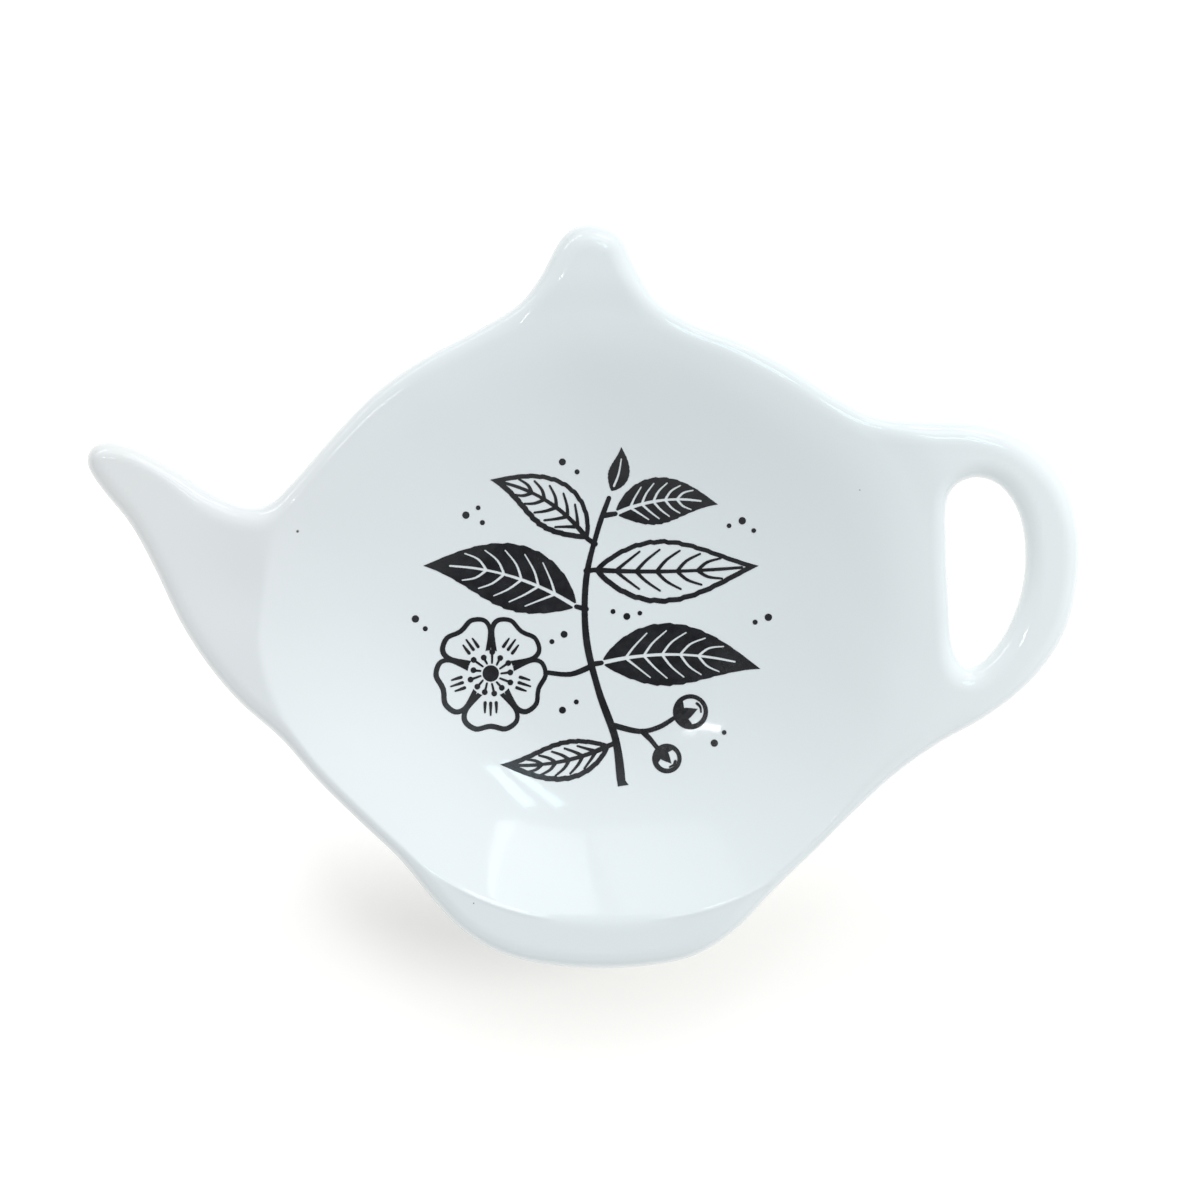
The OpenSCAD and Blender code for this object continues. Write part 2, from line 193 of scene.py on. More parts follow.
class Plan:
    """What the form needs to know about points of the plan: distances to the outlines and the dished heights."""

    def __init__(self, x, y):
        self.x, self.y = x, y
        d, g = outline(x, y)
        dh, gh = hole(x, y)
        use = (-dh < d)[:, None]  # the hole's loop has its material on the left
        self.d = np.minimum(d, -dh)
        self.dg = np.where(use, -gh, g)
        # the edges on the knob's side are the softest, but for the narrow spout
        t = np.clip(0.15 - self.dg[:, 1], 0, 1) * np.clip((x + 52) / 8, 0, 1)
        self.ru = 2.1 + 1.1 * t * t * (3 - 2 * t)
        qx, qy = x - HUB[0], y - HUB[1]
        r = np.maximum(np.hypot(qx, qy), 1e-6)
        th = np.arctan2(qy, qx)
        R, dR = recess_radius(th)
        er, et = np.stack([qx / r, qy / r], 1), np.stack([-qy / r, qx / r], 1)
        self.r, self.er = r, er
        self.rho = r / R
        rg = er / R[:, None] - et * (dR / R**2)[:, None]
        self.soft = rim_softness(th)
        zr, s = sloped(self.rho, DISH0, DISH1, RIM - FLOOR)
        za, sa = swept(self.rho, RIM - FLOOR)
        k = sweep_share(th)
        dk = (sweep_share(th + 1e-3) - sweep_share(th - 1e-3)) / 2e-3
        zr, s, turn = zr + (za - zr) * k, s + (sa - s) * k, (za - zr) * dk
        # a trace of hand finishing: the wall isn't perfectly even
        away = np.clip((self.rho - 0.64) / 0.2, 0, 1)
        away = away * away * (3 - 2 * away)
        a, b, c, e = x * 0.31 + 1.3, y * 0.27 + 0.4, x * 0.17 - y * 0.21 + 2.0, x * 0.52 + y * 0.43
        wob = 0.035 * (np.sin(a) * np.sin(b) + 0.6 * np.sin(c) + 0.35 * np.sin(e))
        wg = 0.035 * np.stack([0.31 * np.cos(a) * np.sin(b) + 0.102 * np.cos(c) + 0.182 * np.cos(e),
                               0.27 * np.sin(a) * np.cos(b) - 0.126 * np.cos(c) + 0.1505 * np.cos(e)], 1)
        self.zr = FLOOR + zr + wob * away
        self.zrg = s[:, None] * rg + wg * away[:, None] + et * (turn / r)[:, None]
        t = (self.rho - 1.0) * R / 0.28
        self.roll = rim_roll(th) * np.exp(-t * t)
        self.rollg = (self.roll * -2 * t / 0.28 * R)[:, None] * rg
        zu, s = sloped(self.rho, 0.56, 0.86, RIM - LIP - UNDER)
        self.zu = UNDER + zu
        self.zug = s[:, None] * rg
        # the lips aren't dead flat, and the spout dips at its root
        u, v, p, q = (x + 41.5) / 5.5, (y - 0.5) / 5, (x + 41) / 4, (y - 10.5) / 3
        dip, rise = 0.46 * np.exp(-u * u - v * v), 0.20 * np.exp(-p * p - q * q)
        a, b = x * 0.061 + 0.6, y * 0.083 - 0.4
        self.lift = 0.05 * np.sin(a) * np.cos(b) - dip + rise
        self.liftg = np.stack([0.00305 * np.cos(a) * np.cos(b) + dip * 2 * u / 5.5 - rise * 2 * p / 4,
                               -0.00415 * np.sin(a) * np.sin(b) + dip * 2 * v / 5 - rise * 2 * q / 3], 1)

    def take(self, i):
        out = object.__new__(Plan)
        for k, v in self.__dict__.items():
            out.__dict__[k] = v[i]
        return out


def flat_grad(g2, gz):
    return np.concatenate([g2, np.broadcast_to(gz, (len(g2),))[:, None]], 1)


def blend_max(a, b, k):
    """The larger of two fields, eased over k mm with no jump in curvature, so that highlights run on smoothly."""
    (va, ga), (vb, gb) = a, b
    t = np.clip((va - vb) / k, -1, 1)
    v = (va + vb) / 2 + np.where(np.abs(va - vb) < k, k * (3 + 6 * t**2 - t**4) / 16, np.abs(va - vb) / 2)
    return v, (ga + gb) / 2 + (ga - gb) / 2 * ((3 * t - t**3) / 2)[:, None]


def blend_min(a, b, k):
    v, g = blend_max((-a[0], -a[1]), (-b[0], -b[1]), k)
    return -v, -g


def rounded_box(u, ug, w, wg, r):
    """Distance to a quarter-round corner of two faces at u = 0 and w = 0, positive outside."""
    a, b = u + r, w + r
    pa, pb = np.maximum(a, 0), np.maximum(b, 0)
    L = np.hypot(pa, pb)
    v = L + np.minimum(np.maximum(a, b), 0) - r
    both = (a > 0) & (b > 0)
    ga = np.where(both, pa / np.maximum(L, 1e-9), (a >= b).astype(float))
    gb = np.where(both, pb / np.maximum(L, 1e-9), (a < b).astype(float))
    return v, ug * ga[:, None] + wg * gb[:, None]


def worn_edge(u, ug, w, wg, ru, rw):
    """As above with an elliptical corner, ru along u and rw along w."""
    a, b = u / ru + 1, w / rw + 1
    pa, pb = np.maximum(a, 0), np.maximum(b, 0)
    L = np.maximum(np.hypot(pa, pb), 1e-6)
    G = ug * (pa / (L * ru))[:, None] + wg * (pb / (L * rw))[:, None]
    m = np.maximum(np.linalg.norm(G, axis=1), 1e-6)
    both = (a > 0) & (b > 0)
    v = np.where(both, (L - 1) / m, np.where(a >= b, u, w))
    return v, np.where(both[:, None], G / m[:, None], np.where((a >= b)[:, None], ug, wg))


def form(P, z, skin):
    """Signed distance, negative inside, and its gradient. skin 0 is the glazed surface, 1 the fired clay under it."""
    n = len(z)
    up = np.zeros((n, 3)); up[:, 2] = 1.0
    e3 = flat_grad(P.er, 0.0)
    # flat lips with full-round edges
    zc = RIM - LIP / 2 + P.lift
    side = np.where(z >= zc, 1.0, -1.0)
    ru = np.where(side > 0, P.ru, 2.1)
    plate = worn_edge(-P.d, flat_grad(-P.dg, 0.0), np.abs(z - zc) - LIP / 2,
                      flat_grad(-P.liftg, 1.0) * side[:, None], ru, 2.1)
    # the bowl under it
    c = 1 / np.sqrt(1 + (P.zug**2).sum(1))
    bowl = ((P.zu - z) * c, flat_grad(P.zug, -1.0) * c[:, None])
    bowl = blend_max(bowl, (1.9 - P.d, flat_grad(-P.dg, 0.0)), 1.6)
    bowl = blend_max(bowl, (z - (RIM - 2.2), up), 0.5)
    solid = blend_min(plate, bowl, 2.6)
    # foot ring, a little wider where it meets the bowl
    hw = RING_HALF + 0.10 * np.clip(z - BARE, 0, 3)
    t = np.abs(P.r - RING_MID) - hw
    tg = e3 * np.where(P.r >= RING_MID, 1.0, -1.0)[:, None]
    if skin == 0:
        ring = rounded_box(t, tg, np.maximum(-1.2 - z, z - 5.0), up * np.where(z < 2, -1.0, 1.0)[:, None], 0.4)
    else:
        ring = rounded_box(t + GLAZE * 0.9, tg, np.maximum(-z, z - 5.0), up * np.where(z < 2, -1.0, 1.0)[:, None], 0.65)
    # the recess
    c = 1 / np.sqrt(1 + (P.zrg**2).sum(1))
    hollow = ((z - P.zr) * c, flat_grad(-P.zrg, 1.0) * c[:, None])
    if skin == 0:
        solid = blend_min(solid, ring, 1.5)
        v, g = blend_max(solid, hollow, P.soft)
        top = np.clip((z - 12.2) / 1.2, 0, 1)
        v, g = v - P.roll * top, g - flat_grad(P.rollg, 0.0) * top[:, None]
        # the glaze thins to a rounded edge where it stops on the ring
        q = np.clip((BARE + 0.45 - z) / 0.45, 0, 1)
        near = ((P.r < RING_MID + 4) & (z < 2)).astype(float)
        return v + near * 0.17 * q * q, g
    v, g = blend_max(blend_min(solid, ring, 1.5), hollow, P.soft)
    v, g = v + GLAZE, g
    # below the glaze line the clay comes out to its own foot
    q = np.clip((z - BARE) / 0.3, 0, 1)
    return blend_min((v, g), (ring[0] + np.clip(z - 1.2, 0, 9), ring[1]), 0.05)


def net(h, skin, z0, z1):
    """A quad mesh of the form on a grid of h mm, by surface nets; settle draws it onto the true surface."""
    xs = np.arange(-61.5, 61.5 + h, h); ys = np.arange(-46.5, 46.5 + h, h); zs = np.arange(z0, z1 + h, h)
    X, Y = np.meshgrid(xs, ys, indexing="ij")
    P = Plan(X.ravel(), Y.ravel())
    F = np.empty((len(xs), len(ys), len(zs)), np.float32)
    for k, z in enumerate(zs):
        F[:, :, k] = form(P, np.full(X.size, z), skin)[0].reshape(X.shape)
    ins = F < 0
    shape = tuple(s - 1 for s in F.shape)
    cnt = np.zeros(shape, np.int8)
    for i in (0, 1):
        for j in (0, 1):
            for k in (0, 1):
                cnt += ins[i:i + shape[0], j:j + shape[1], k:k + shape[2]]
    act = (cnt > 0) & (cnt < 8)
    idx = -np.ones(shape, np.int64)
    cells = np.argwhere(act)
    idx[act] = np.arange(len(cells))
    ci, cj, ck = cells.T
    acc = np.zeros((len(cells), 3)); num = np.zeros(len(cells))
    for ax in range(3):
        o = [a for a in range(3) if a != ax]
        for u in (0, 1):
            for v in (0, 1):
                p = np.zeros((len(cells), 3), int)
                p[:, o[0]] += u; p[:, o[1]] += v
                q = p.copy(); q[:, ax] += 1
                fa = F[ci + p[:, 0], cj + p[:, 1], ck + p[:, 2]]
                fb = F[ci + q[:, 0], cj + q[:, 1], ck + q[:, 2]]
                cross = (fa < 0) != (fb < 0)
                t = np.where(cross, fa / np.where(cross, fa - fb, 1), 0)
                pt = p + (q - p) * t[:, None]
                acc += np.where(cross[:, None], pt, 0); num += cross
    V = (cells + acc / num[:, None]) * h + np.array([xs[0], ys[0], zs[0]])
    quads = []
    for ax in range(3):
        sl0 = [slice(None)] * 3; sl1 = [slice(None)] * 3
        sl0[ax] = slice(0, -1); sl1[ax] = slice(1, None)
        ch = ins[tuple(sl0)] != ins[tuple(sl1)]
        e = np.argwhere(ch)
        o = [a for a in range(3) if a != ax]
        ok = (e[:, o[0]] > 0) & (e[:, o[1]] > 0) & (e[:, o[0]] < F.shape[o[0]] - 1) & (e[:, o[1]] < F.shape[o[1]] - 1)
        e = e[ok]
        first_in = ins[tuple(e.T)]
        corner = []
        for du, dv in ((-1, -1), (0, -1), (0, 0), (-1, 0)):
            c = e.copy(); c[:, o[0]] += du; c[:, o[1]] += dv
            corner.append(idx[tuple(c.T)])
        q = np.stack(corner, 1)
        flip = first_in if ax != 1 else ~first_in  # keeps the faces turned outwards
        q[~flip] = q[~flip][:, ::-1]
        quads.append(q)
    return V, np.vstack(quads)


def settle(V, skin, steps=5, most=0.5):
    """Moves vertices onto the surface along its gradient, and returns them with their normals."""
    for _ in range(steps):
        v, g = form(Plan(V[:, 0], V[:, 1]), V[:, 2], skin)
        L = np.maximum((g * g).sum(1), 0.25)
        V = V - np.clip(v / L, -most, most)[:, None] * g
        if np.abs(v).max() < 2e-4:
            break
    g = form(Plan(V[:, 0], V[:, 1]), V[:, 2], skin)[1]
    return V, g / np.linalg.norm(g, axis=1)[:, None]


def to_bmesh(V, faces):
    me = bpy.data.meshes.new("tmp")
    me.from_pydata((V * MM).tolist(), [], [list(f) for f in faces])
    bm = bmesh.new(); bm.from_mesh(me)
    bpy.data.meshes.remove(me)
    return bm


def arrays(bm):
    bm.verts.ensure_lookup_table(); bm.verts.index_update()
    V = np.array([v.co[:] for v in bm.verts]) / MM
    return V, [[v.index for v in f.verts] for f in bm.faces]


def refine(bm, wanted):
    """Splits the edges whose middle lies where wanted(middle points) says."""
    bm.edges.ensure_lookup_table()
    mid = np.array([((e.verts[0].co + e.verts[1].co) / 2)[:] for e in bm.edges]) / MM
    pick = wanted(mid)
    bmesh.ops.subdivide_edges(bm, edges=[e for e, w in zip(bm.edges, pick) if w], cuts=1, use_grid_fill=True)


def object_from(name, V, faces, normals=None):
    me = bpy.data.meshes.new(name)
    me.from_pydata((V * MM).tolist(), [], [list(f) for f in faces])
    me.validate()
    me.shade_smooth()
    if normals is not None:
        me.normals_split_custom_set_from_vertices(normals.tolist())
    ob = bpy.data.objects.new(name, me)
    scene.collection.objects.link(ob)
    return ob


def cut_at(bm, z):
    geom = bm.verts[:] + bm.edges[:] + bm.faces[:]
    bmesh.ops.bisect_plane(bm, geom=geom, dist=1e-7, plane_co=(0, 0, z * MM), plane_no=(0, 0, 1))


def close_up(bm):
    """Merges vertices that have run together."""
    bmesh.ops.remove_doubles(bm, verts=bm.verts, dist=0.02 * MM)
    bmesh.ops.dissolve_degenerate(bm, dist=0.001 * MM, edges=bm.edges)


def compact(V, N, faces):
    used = np.unique(np.concatenate([np.array(f) for f in faces]))
    new = -np.ones(len(V), np.int64); new[used] = np.arange(len(used))
    return V[used], N[used], [[int(new[i]) for i in f] for f in faces]


def border(faces):
    """The vertices on open edges."""
    seen = {}
    for f in faces:
        for a, b in zip(f, f[1:] + f[:1]):
            seen[(a, b)] = True
    return sorted({a for (a, b) in seen if (b, a) not in seen} | {b for (a, b) in seen if (b, a) not in seen})


def bridge(Va, ia, Vb, ib, offset):
    """Triangles between two nearly round loops about the hub, ia of Va on the outside mesh and ib of Vb, numbered from offset."""
    def by_angle(V, ids):
        a = np.arctan2(V[ids, 1] - HUB[1], V[ids, 0] - HUB[0])
        o = np.argsort(a)
        return [ids[i] for i in o], a[o]
    A, ta = by_angle(Va, np.array(ia)); B, tb = by_angle(Vb, np.array(ib))
    i = j = 0
    out = []
    na, nb = len(A), len(B)
    while i < na or j < nb:
        t1 = ta[(i + 1) % na] + (2 * math.pi if i + 1 >= na else 0)
        t2 = tb[(j + 1) % nb] + (2 * math.pi if j + 1 >= nb else 0)
        if j >= nb or (i < na and t1 <= t2):
            out.append((int(A[i % na]), int(A[(i + 1) % na]), int(B[j % nb]) + offset)); i += 1
        else:
            out.append((int(A[i % na]), int(B[(j + 1) % nb]) + offset, int(B[j % nb]) + offset)); j += 1
    return out


def near_rim(p, w_in, w_out):
    P = Plan(p[:, 0], p[:, 1])
    mm = (P.rho - 1) * 38.5
    return (mm > -w_in) & (mm < w_out) & (p[:, 2] > 12.5)


# ------------------------------------------------------------------ the meshes
# fired clay: hidden but for its foot, so it is coarse above and fine at the foot
V, Q = net(0.75, 1, -0.6, 15.3)
V, N = settle(V, 1)
bm = to_bmesh(V, Q)
refine(bm, lambda p: p[:, 2] < 1.6)
V, F = arrays(bm); V, N = settle(V, 1)
bm.free(); bm = to_bmesh(V, F)
close_up(bm)
cut_at(bm, BARE)
V, F = arrays(bm)
line = np.abs(V[:, 2] - BARE) < 1e-4
V2, N = settle(V, 1, steps=2)
V2[line, 2] = BARE
bm.free()
clay_V, clay_N, clay_F = V2, N, F
clay = object_from("fired_clay", clay_V, clay_F, clay_N)

# glaze: fine all over, finer along the inner rim where it catches the light
V, Q = net(0.55, 0, -0.9, 15.3)
V, N = settle(V, 0)
bm = to_bmesh(V, Q)
refine(bm, lambda p: near_rim(p, 2.2, 2.2))
V, F = arrays(bm); V, N = settle(V, 0)
bm.free(); bm = to_bmesh(V, F)
refine(bm, lambda p: near_rim(p, 0.9, 0.9))
V, F = arrays(bm); V, N = settle(V, 0)
bm.free(); bm = to_bmesh(V, F)
close_up(bm)
cut_at(bm, BARE)
V, F = arrays(bm)
line = np.abs(V[:, 2] - BARE) < 1e-4
V2, N = settle(V, 0, steps=2)
V2[line, 2] = BARE
skin_V, skin_N = V2, N
bm.free()


def mean_of(V, f):
    return V[f].mean(0)


def part_of(V, F, well):
    """The faces above the glaze line, inside (well) or outside the foot ring."""
    out = []
    cen = np.array([V[f].mean(0) for f in F])
    r = np.hypot(cen[:, 0] - HUB[0], cen[:, 1] - HUB[1])
    inside = (r < RING_MID) & (cen[:, 2] < 4.6)
    for f, k, z in zip(F, inside, cen[:, 2]):
        if z > BARE and k == well:
            out.append(f)
    return out


def glaze_piece(name, well):
    Va, Na, Fa = compact(skin_V, skin_N, part_of(skin_V, F, well))
    Vb, Nb, Fb = compact(clay_V, clay_N, part_of(clay_V, clay_F, well))
    ia, ib = border(Fa), border(Fb)
    k = len(Va)
    tri = bridge(Va, ia, Vb, ib, k)
    faces = Fa + [[i + k for i in f[::-1]] for f in Fb]
    # the bridge turns the same way as the skin that it joins
    e = {(a, b) for f in Fa for a, b in zip(f, f[1:] + f[:1])}
    t = next(t for t in tri if t[1] < k)
    if (t[0], t[1]) in e:
        tri = [t[::-1] for t in tri]
    faces += [list(t) for t in tri]
    return object_from(name, np.vstack([Va, Vb]), faces, np.vstack([Na, -Nb]))


glaze = glaze_piece("glaze_skin", False)
well = glaze_piece("glaze_well", True)

# ------------------------------------------------------------------ materials


def new_material(name):
    m = bpy.data.materials.new(name)
    m.use_nodes = True
    nt = m.node_tree
    return m, nt, nt.nodes["Principled BSDF"]


def node(nt, kind, **kw):
    n = nt.nodes.new(kind)
    for k, v in kw.items():
        setattr(n, k, v)
    return n


def math_node(nt, op, a, b=None, c=None, clamp=False):
    n = node(nt, "ShaderNodeMath", operation=op, use_clamp=clamp)
    for i, v in enumerate((a, b, c)):
        if v is None:
            continue
        if hasattr(v, "links") or hasattr(v, "node"):
            nt.links.new(v, n.inputs[i])
        else:
            n.inputs[i].default_value = v
    return n.outputs[0]


def coords(nt):
    return node(nt, "ShaderNodeTexCoord").outputs["Object"]


def noise(nt, vec, scale, detail=3, rough=0.5):
    n = node(nt, "ShaderNodeTexNoise")
    n.inputs["Scale"].default_value = scale
    n.inputs["Detail"].default_value = detail
    n.inputs["Roughness"].default_value = rough
    nt.links.new(vec, n.inputs["Vector"])
    return n.outputs["Fac"]


def ramp(nt, fac, stops):
    n = node(nt, "ShaderNodeValToRGB")
    cr = n.color_ramp
    while len(cr.elements) < len(stops):
        cr.elements.new(0.5)
    for e, (p, c) in zip(cr.elements, stops):
        e.position = p
        e.color = (c, c, c, 1) if isinstance(c, (int, float)) else (*c, 1)
    nt.links.new(fac, n.inputs["Fac"])
    return n.outputs["Color"]


def mix(nt, fac, a, b):
    n = node(nt, "ShaderNodeMix", data_type="RGBA")
    for s, v in ((n.inputs[0], fac), (n.inputs[6], a), (n.inputs[7], b)):
        if hasattr(v, "node"):
            nt.links.new(v, s)
        elif isinstance(v, (int, float)):
            s.default_value = v
        else:
            s.default_value = (*v, 1)
    return n.outputs[2]


def glaze_material():
    m, nt, bsdf = new_material("white_glaze")
    co = coords(nt)
    # painted light: the white is tinted along X, warmest and a little dimmer at the spout, cooler and brightest at the
    # handle, standing in for the light's colour and strength on each side; over it a slow random drift of the white,
    # cooler in patches
    painted_light_across = node(nt, "ShaderNodeMapRange")
    sep = node(nt, "ShaderNodeSeparateXYZ")
    nt.links.new(co, sep.inputs[0])
    nt.links.new(sep.outputs["X"], painted_light_across.inputs["Value"])
    painted_light_across.inputs["From Min"].default_value, painted_light_across.inputs["From Max"].default_value = -0.060, 0.060
    col = ramp(nt, painted_light_across.outputs[0], [(0.06, (0.818, 0.814, 0.808)), (0.20, (0.800, 0.812, 0.812)),
                                       (0.36, (0.812, 0.842, 0.848)), (0.60, (0.798, 0.834, 0.842)),
                                       (0.80, (0.822, 0.856, 0.860)), (0.97, (0.868, 0.897, 0.899))])
    drift = ramp(nt, noise(nt, co, 22.0, 2, 0.45), [(0.30, 0.35), (0.70, 0.0)])
    col = mix(nt, drift, col, (0.785, 0.830, 0.848))
    # two iron specks, and two finer ones
    specks = np.array([(-34.5, 7.8, 0.20), (58.6, -3.1, 0.16), (-13.2, -37.0, 0.09), (33.4, 12.8, 0.08)])
    P = Plan(specks[:, 0], specks[:, 1])
    for px, py, pz, r in zip(specks[:, 0], specks[:, 1], np.minimum(P.zr, RIM + P.lift), specks[:, 2]):
        d = node(nt, "ShaderNodeVectorMath", operation="DISTANCE")
        nt.links.new(co, d.inputs[0])
        d.inputs[1].default_value = (px * MM, py * MM, pz * MM)
        s = node(nt, "ShaderNodeMapRange", interpolation_type="SMOOTHSTEP")
        nt.links.new(d.outputs["Value"], s.inputs["Value"])
        s.inputs["From Min"].default_value = r * MM * 0.45
        s.inputs["From Max"].default_value = r * MM * 1.25
        s.inputs["To Min"].default_value = 1.0
        s.inputs["To Max"].default_value = 0.0
        col = mix(nt, s.outputs[0], col, (0.10, 0.085, 0.075))
    nt.links.new(col, bsdf.inputs["Base Color"])
    rough = ramp(nt, noise(nt, co, 160.0, 3, 0.55), [(0.30, 0.045), (0.72, 0.085)])
    nt.links.new(rough, bsdf.inputs["Roughness"])
    bsdf.inputs["IOR"].default_value = 1.52
    # the faint ripple of a fired glaze, and a finer orange peel
    ripple = noise(nt, co, 95.0, 1, 0.4)
    peel = noise(nt, co, 520.0, 2, 0.5)
    h = math_node(nt, "MULTIPLY_ADD", peel, 0.12, ripple)
    b = node(nt, "ShaderNodeBump")
    b.inputs["Strength"].default_value = 0.10
    b.inputs["Distance"].default_value = 0.0004
    nt.links.new(h, b.inputs["Height"])
    nt.links.new(b.outputs["Normal"], bsdf.inputs["Normal"])
    return m


def clay_material():
    m, nt, bsdf = new_material("bare_clay")
    co = coords(nt)
    a = noise(nt, co, 180.0, 4, 0.6)
    col = ramp(nt, a, [(0.25, (0.60, 0.56, 0.49)), (0.55, (0.74, 0.71, 0.65)), (0.80, (0.80, 0.78, 0.73))])
    grain = noise(nt, co, 2600.0, 2, 0.6)
    col = mix(nt, math_node(nt, "MULTIPLY", ramp(nt, grain, [(0.55, 0.0), (0.75, 1.0)]), 0.35), col, (0.45, 0.41, 0.36))
    nt.links.new(col, bsdf.inputs["Base Color"])
    nt.links.new(ramp(nt, a, [(0.2, 0.78), (0.8, 0.92)]), bsdf.inputs["Roughness"])
    b = node(nt, "ShaderNodeBump")
    b.inputs["Strength"].default_value = 0.5
    b.inputs["Distance"].default_value = 0.00012
    nt.links.new(grain, b.inputs["Height"])
    nt.links.new(b.outputs["Normal"], bsdf.inputs["Normal"])
    return m


def ink_material():
    m, nt, bsdf = new_material("fired_ink")
    co = coords(nt)
    a = noise(nt, co, 900.0, 3, 0.6)
    col = ramp(nt, a, [(0.30, (0.008, 0.008, 0.010)), (0.75, (0.020, 0.020, 0.023))])
    nt.links.new(col, bsdf.inputs["Base Color"])
    nt.links.new(ramp(nt, noise(nt, co, 420.0, 2, 0.5), [(0.3, 0.16), (0.75, 0.30)]), bsdf.inputs["Roughness"])
    bsdf.inputs["IOR"].default_value = 1.5
    b = node(nt, "ShaderNodeBump")
    b.inputs["Strength"].default_value = 0.15
    b.inputs["Distance"].default_value = 0.0001
    nt.links.new(noise(nt, co, 1500.0, 2, 0.5), b.inputs["Height"])
    nt.links.new(b.outputs["Normal"], bsdf.inputs["Normal"])
    return m


m_glaze, m_clay, m_ink = glaze_material(), clay_material(), ink_material()
for ob, mat, nodes, slot in ((glaze, m_glaze, ("glaze_coat",), "glaze"), (well, m_glaze, ("glaze_foot_well",), "glaze"),
                             (clay, m_clay, ("porcelain_body",), "biscuit")):
    ob.data.materials.append(mat)
    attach(ob, "root")
    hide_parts(*nodes)


def drape(source, name):
    """The same print laid on the dished floor, as thin as fired ink."""
    bm = bmesh.new()
    bm.from_mesh(source.data)
    bm.transform(source.matrix_world)
    bmesh.ops.remove_doubles(bm, verts=bm.verts, dist=2e-6)
    bmesh.ops.triangulate(bm, faces=bm.faces)
    for _ in range(6):
        far = [e for e in bm.edges if e.calc_length() > 1.5 * MM]
        if not far:
            break
        bmesh.ops.subdivide_edges(bm, edges=far, cuts=1)
        bmesh.ops.triangulate(bm, faces=[f for f in bm.faces if len(f.verts) > 3])
    V, F = arrays(bm)
    bm.free()
    top = V[:, 2] > FLOOR + 0.05
    V[:, 2] = Plan(V[:, 0], V[:, 1]).zr + np.where(top, INK, -0.05)
    ob = object_from(name, V, F)
    ob.data.set_sharp_from_angle(angle=math.radians(40))
    ob.data.materials.append(m_ink)
    return ob


for name in [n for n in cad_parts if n.startswith("print_")]:
    ink = drape(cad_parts[name], name.replace("print_", "ink_"))
    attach(ink, "root")
    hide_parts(name)

# ------------------------------------------------------------------ floor, light and camera


def stage_floor():
    me = bpy.data.meshes.new("floor")
    s = 1.6
    me.from_pydata([(-s, -s, 0), (s, -s, 0), (s, s, 0), (-s, s, 0)], [], [(0, 1, 2, 3)])
    ob = bpy.data.objects.new("floor", me)
    scene.collection.objects.link(ob)
    m, nt, bsdf = new_material("white_table_painted_shadow_and_fill")
    bsdf.inputs["Base Color"].default_value = (0.612, 0.595, 0.564, 1)
    bsdf.inputs["Roughness"].default_value = 0.7
    bsdf.inputs["Specular IOR Level"].default_value = 0.2
    bsdf.inputs["Emission Color"].default_value = (1, 1, 1, 1)
    # painted shadow: the floor glows less in a band under the foot, a shadow painted into its emission
    painted_shadow_band = node(nt, "ShaderNodeMapRange", interpolation_type="SMOOTHSTEP")
    sep = node(nt, "ShaderNodeSeparateXYZ")
    nt.links.new(coords(nt), sep.inputs[0])
    along = math_node(nt, "MULTIPLY", math_node(nt, "SUBTRACT", sep.outputs["X"], 0.003), 0.15)
    up = math_node(nt, "ADD", sep.outputs["Y"], 0.042)
    up = math_node(nt, "MULTIPLY_ADD", math_node(nt, "MINIMUM", up, 0.0), -0.6, math_node(nt, "MAXIMUM", up, 0.0))
    d = math_node(nt, "SQRT", math_node(nt, "MULTIPLY_ADD", up, up, math_node(nt, "MULTIPLY", along, along)))
    nt.links.new(d, painted_shadow_band.inputs["Value"])
    for k, v in (("From Min", 0.0), ("From Max", 0.017), ("To Min", 0.30), ("To Max", 0.62)):
        painted_shadow_band.inputs[k].default_value = v
    # painted light: the floor glows a little brighter under the spout, where the key light doesn't reach, to hide the
    # key's shadow there
    painted_fill_light = node(nt, "ShaderNodeMapRange", interpolation_type="SMOOTHSTEP")
    d = node(nt, "ShaderNodeVectorMath", operation="DISTANCE")
    nt.links.new(coords(nt), d.inputs[0])
    d.inputs[1].default_value = (-0.042, -0.014, 0.0)
    nt.links.new(d.outputs["Value"], painted_fill_light.inputs["Value"])
    for k, v in (("From Min", 0.020), ("From Max", 0.060), ("To Min", 0.62), ("To Max", 0.46)):
        painted_fill_light.inputs[k].default_value = v
    nt.links.new(painted_fill_light.outputs[0], painted_shadow_band.inputs["To Max"])
    nt.links.new(painted_shadow_band.outputs[0], bsdf.inputs["Emission Strength"])
    me.materials.append(m)
    return ob


floor = stage_floor()


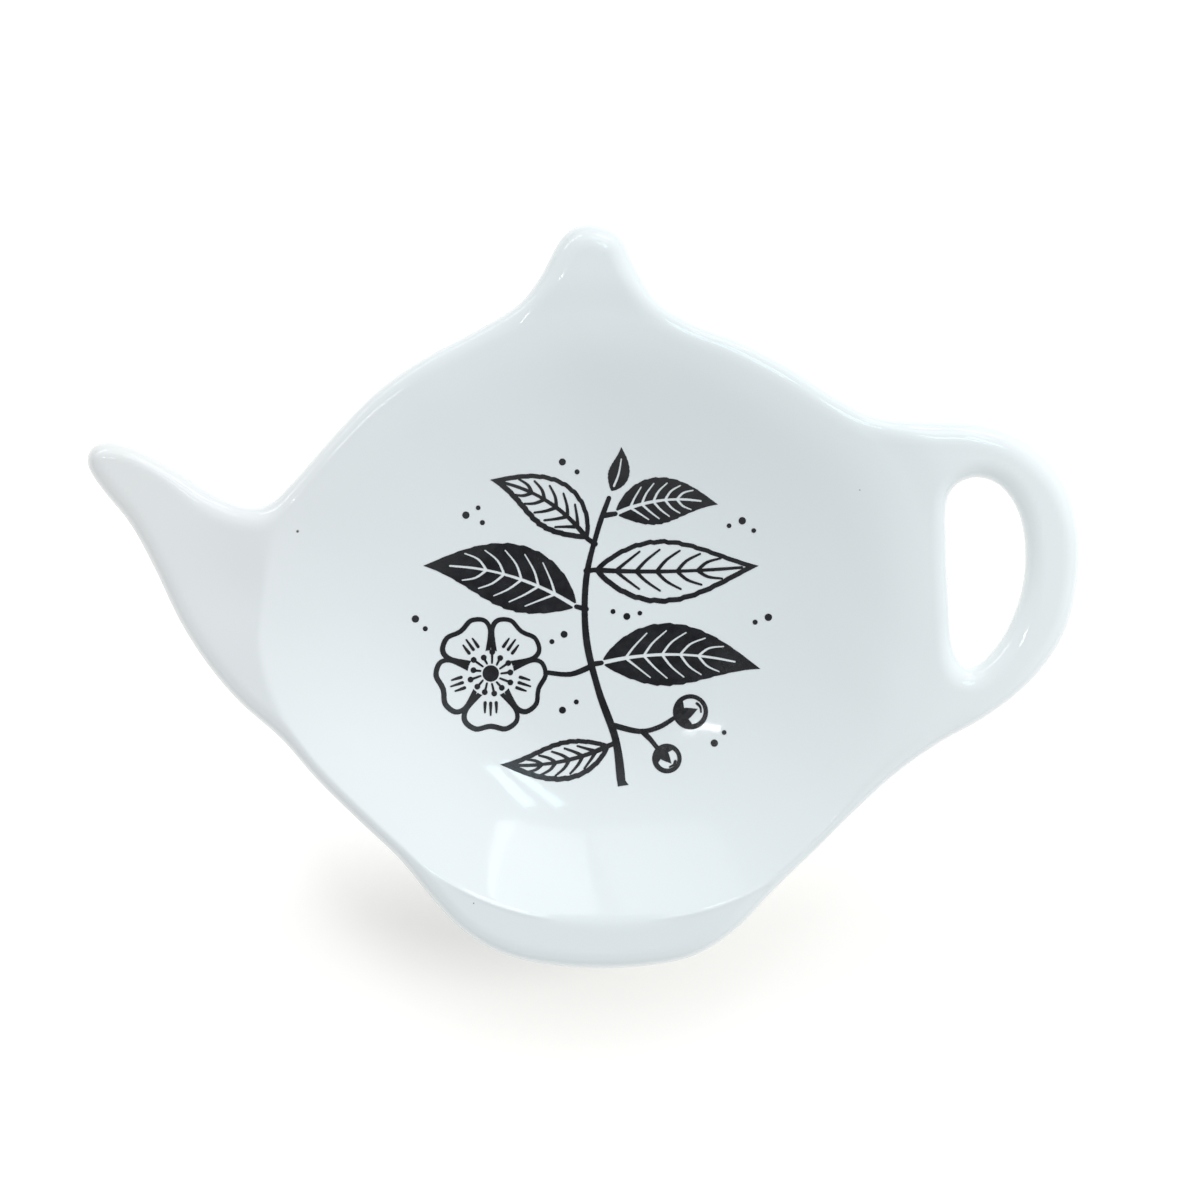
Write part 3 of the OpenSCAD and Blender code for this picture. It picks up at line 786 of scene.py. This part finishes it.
def studio_world():
    """A soft white room: brighter towards the knob and the handle, dark straight above where the camera is."""
    world = bpy.data.worlds.new("studio")
    scene.world = world
    world.use_nodes = True
    nt = world.node_tree
    bg = nt.nodes["Background"]
    sep = node(nt, "ShaderNodeSeparateXYZ")
    nt.links.new(node(nt, "ShaderNodeTexCoord").outputs["Generated"], sep.inputs[0])
    x, y, z = sep.outputs
    pos = lambda v: math_node(nt, "MAXIMUM", v, 0.0)
    neg = lambda v: math_node(nt, "MAXIMUM", math_node(nt, "MULTIPLY", v, -1.0), 0.0)
    diag = math_node(nt, "POWER", pos(math_node(nt, "MULTIPLY", math_node(nt, "ADD", x, y), 0.7071)), 2.0)
    total = 0.05
    for v, w in ((pos(y), 1.45), (pos(x), 0.82), (diag, 0.96), (neg(y), 0.99), (neg(x), 0.58)):
        total = math_node(nt, "MULTIPLY_ADD", v, w, total)
    # the walls of the room end below the table's level
    low = node(nt, "ShaderNodeMapRange", interpolation_type="SMOOTHSTEP")
    nt.links.new(z, low.inputs["Value"])
    for k, v in (("From Min", 0.02), ("From Max", 0.46), ("To Min", 0.34), ("To Max", 1.0)):
        low.inputs[k].default_value = v
    total = math_node(nt, "MULTIPLY", total, low.outputs[0])
    edge = node(nt, "ShaderNodeMapRange", interpolation_type="SMOOTHSTEP")
    nt.links.new(z, edge.inputs["Value"])
    edge.inputs["From Min"].default_value = math.cos(math.radians(15))
    edge.inputs["From Max"].default_value = math.cos(math.radians(9))
    cap = edge.outputs[0]
    open_part = math_node(nt, "MULTIPLY", total, math_node(nt, "SUBTRACT", 1.0, cap))
    nt.links.new(math_node(nt, "MULTIPLY_ADD", cap, 0.12, open_part), bg.inputs["Strength"])
    bg.inputs["Color"].default_value = (0.962, 1.0, 1.02, 1)


studio_world()


def area(name, where, aim, size, radiance, colour=(1, 1, 1), turn=0.0):
    """A rectangular panel that shines with the given radiance, unseen by the camera itself."""
    d = bpy.data.lights.new(name, "AREA")
    d.shape = "RECTANGLE"
    d.size, d.size_y = size
    d.energy = radiance * math.pi * size[0] * size[1]
    d.color = colour
    ob = bpy.data.objects.new(name, d)
    ob.location = where
    ob.rotation_euler = (Vector(aim) - Vector(where)).to_track_quat("-Z", "Y").to_euler()
    ob.rotation_euler.rotate_axis("Z", math.radians(turn))
    ob.visible_camera = False
    scene.collection.objects.link(ob)
    return ob


def sky_point(zenith, azimuth, r):
    a, b = math.radians(zenith), math.radians(azimuth)
    return Vector((math.sin(a) * math.cos(b), math.sin(a) * math.sin(b), math.cos(a))) * r


def bar(name, a, b, width, radiance, colour=(1, 1, 1)):
    """A lamp bar between two sky points, seen only as a glint in the glaze."""
    pa, pb = sky_point(*a, 1.2), sky_point(*b, 1.2)
    mid = (pa + pb) / 2
    ob = area(name, mid, (0, 0, 0), ((pb - pa).length, width), radiance, colour)
    z = mid.normalized()
    x = (pb - pa).normalized()
    y = z.cross(x)
    ob.rotation_euler = Matrix((x, y, z)).transposed().to_euler()
    ob.visible_diffuse = False
    return ob


# a window on the knob's side: the pane nearer the handle is bright, and brightest along its edge
area("pane_right", (0.205, 0.95, 0.985), (0.205, 0.0, 0.985), (0.340, 0.440), 1.20, (0.95, 1.0, 1.02), 1)
area("pane_edge", (0.330, 0.95, 1.010), (0.330, 0.0, 1.010), (0.130, 0.420), 2.60, (0.95, 1.0, 1.02), 24)
area("pane_left", (-0.225, 0.95, 1.070), (-0.225, 0.0, 1.070), (0.440, 0.440), 0.60, (0.95, 1.0, 1.02), 10)
# lamp tubes high up, and two long low ones, seen only as fine lines in the glaze
bar("tube_a", (29.6, 53.2), (34.5, 70.7), 0.066, 5.0, (0.60, 0.95, 1.10))
bar("tube_b", (25.2, 56.0), (31.7, 80.5), 0.050, 5.0, (0.60, 0.95, 1.10))
bar("tube_c", (13.4, 131.0), (20.3, 142.0), 0.022, 14.0)
bar("strip_a", (60.0, 62.0), (60.0, 81.0), 0.090, 4.0)
bar("strip_b", (60.0, 105.0), (60.0, 141.0), 0.100, 5.0)

# a soft key for the table alone, so that the dish's shadow falls to the foot's left
table_only = bpy.data.collections.new("table_only")
table_only.objects.link(floor)
key = area("table_key", sky_point(50, 2, 1.3), (0, 0, 0), (0.50, 0.50), 7.5)
key.light_linking.receiver_collection = table_only

cam_data = bpy.data.cameras.new("camera")
cam = bpy.data.objects.new("camera", cam_data)
scene.collection.objects.link(cam)
cam_data.lens = 100
cam_data.sensor_width = 36
cam_data.clip_start, cam_data.clip_end = 0.01, 10
cam.location = (2.006 * MM, -0.486 * MM, (RIM + 401.3) * MM)
cam.rotation_euler = (0, 0, 0)
scene.camera = cam
scene.view_settings.view_transform = "Standard"
scene.view_settings.look = "None"
